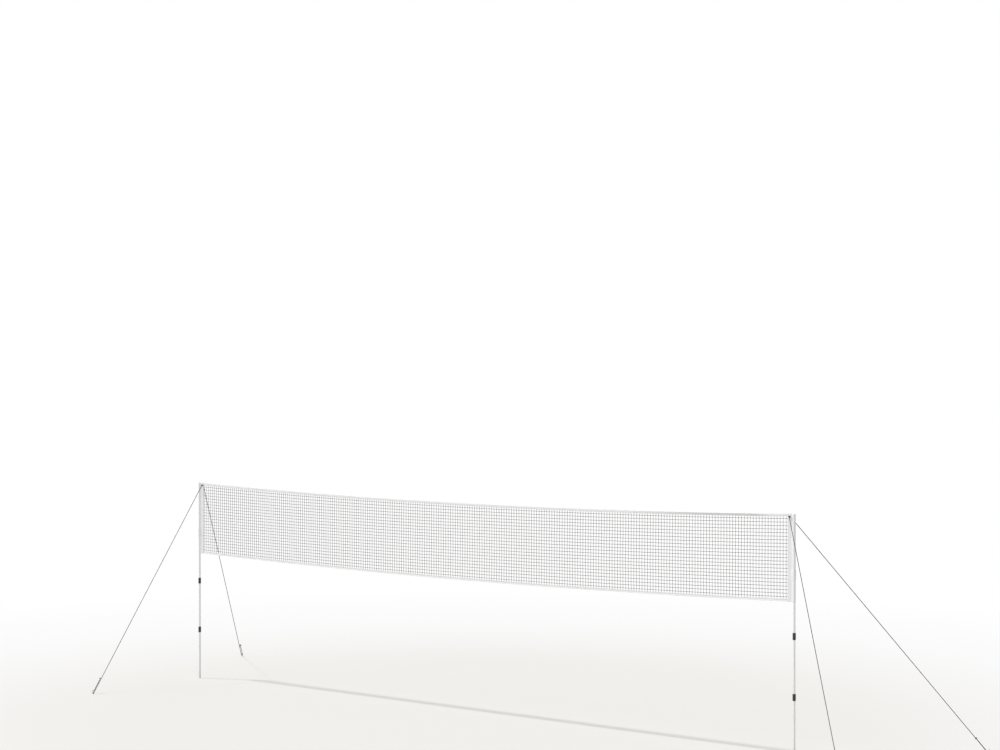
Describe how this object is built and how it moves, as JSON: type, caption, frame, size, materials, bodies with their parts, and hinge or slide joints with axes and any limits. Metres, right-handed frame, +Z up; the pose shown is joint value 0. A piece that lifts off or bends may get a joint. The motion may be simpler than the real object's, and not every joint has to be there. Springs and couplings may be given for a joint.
{
  "type": "volleyball net",
  "caption": "Volleyball net with tapes along its edges, hung on two sectional poles by cloth pockets, and held upright by guy ropes with runners and ground pegs.",
  "frame": {"origin": "on the ground, midway between the axes of the two poles", "axes": "+Z up, +X along the net from the left pole to the right one, +Y away from the front of the net"},
  "size_m": [10.8777, 3.3824, 2.714],
  "materials": {
    "pole_steel": "white powder coat, satin",
    "coupler_plastic": "black moulded plastic, satin",
    "cap_plastic": "white moulded plastic, matte",
    "mesh_cord": "knotted twine, black",
    "tape_cloth": "woven tape, white, with pale grey overlocked edges",
    "pocket_cloth": "woven cloth, white",
    "line_rope": "braided line",
    "eyelet_metal": "plated",
    "guy_rope": "braided rope, dark grey",
    "runner_plastic": "moulded plastic",
    "peg_steel": "zinc plated"
  },
  "bodies": {
    "net_and_poles": {"left_pole_tube_1": "pole_steel", "left_pole_tube_2": "pole_steel", "left_pole_tube_3": "pole_steel", "left_pole_tube_4": "pole_steel", "right_pole_tube_1": "pole_steel", "right_pole_tube_2": "pole_steel", "right_pole_tube_3": "pole_steel", "right_pole_tube_4": "pole_steel", "left_coupler_1": "coupler_plastic", "left_coupler_2": "coupler_plastic", "left_coupler_3": "coupler_plastic", "right_coupler_1": "coupler_plastic", "right_coupler_2": "coupler_plastic", "right_coupler_3": "coupler_plastic", "left_foot_cap": "cap_plastic", "left_top_cap": "cap_plastic", "left_pole_pocket": "pocket_cloth", "left_eyelet": "eyelet_metal", "right_foot_cap": "cap_plastic", "right_top_cap": "cap_plastic", "right_pole_pocket": "pocket_cloth", "right_eyelet": "eyelet_metal", "net_mesh": "mesh_cord", "top_tape": "tape_cloth", "bottom_tape": "tape_cloth", "top_line": "line_rope", "bottom_line": "line_rope", "left_front_guy": "guy_rope", "left_back_guy": "guy_rope", "right_front_guy": "guy_rope", "right_back_guy": "guy_rope"},
    "left_front_runner_body": {"left_front_runner": "runner_plastic"},
    "left_front_peg_body": {"left_front_peg": "peg_steel"},
    "left_back_runner_body": {"left_back_runner": "runner_plastic"},
    "left_back_peg_body": {"left_back_peg": "peg_steel"},
    "right_front_runner_body": {"right_front_runner": "runner_plastic"},
    "right_front_peg_body": {"right_front_peg": "peg_steel"},
    "right_back_runner_body": {"right_back_runner": "runner_plastic"},
    "right_back_peg_body": {"right_back_peg": "peg_steel"}
  },
  "joints": [
    {"name": "left_front_runner_slide", "type": "slide", "parent": "net_and_poles", "child": "left_front_runner_body", "axis": [-0.047, -0.5632, -0.825], "range_m": [0, 0.12]},
    {"name": "left_front_peg_pull", "type": "slide", "parent": "net_and_poles", "child": "left_front_peg_body", "axis": [0, 0, 1], "range_m": [0, 0.28]},
    {"name": "left_back_runner_slide", "type": "slide", "parent": "net_and_poles", "child": "left_back_runner_body", "axis": [-0.3302, 0.5421, -0.7727], "range_m": [0, 0.12]},
    {"name": "left_back_peg_pull", "type": "slide", "parent": "net_and_poles", "child": "left_back_peg_body", "axis": [0, 0, 1], "range_m": [0, 0.28]},
    {"name": "right_front_runner_slide", "type": "slide", "parent": "net_and_poles", "child": "right_front_runner_body", "axis": [0.4354, -0.4237, -0.7943], "range_m": [0, 0.12]},
    {"name": "right_front_peg_pull", "type": "slide", "parent": "net_and_poles", "child": "right_front_peg_body", "axis": [0, 0, 1], "range_m": [0, 0.28]},
    {"name": "right_back_runner_slide", "type": "slide", "parent": "net_and_poles", "child": "right_back_runner_body", "axis": [0.4657, 0.4488, -0.7627], "range_m": [0, 0.12]},
    {"name": "right_back_peg_pull", "type": "slide", "parent": "net_and_poles", "child": "right_back_peg_body", "axis": [0, 0, 1], "range_m": [0, 0.28]}
  ]
}
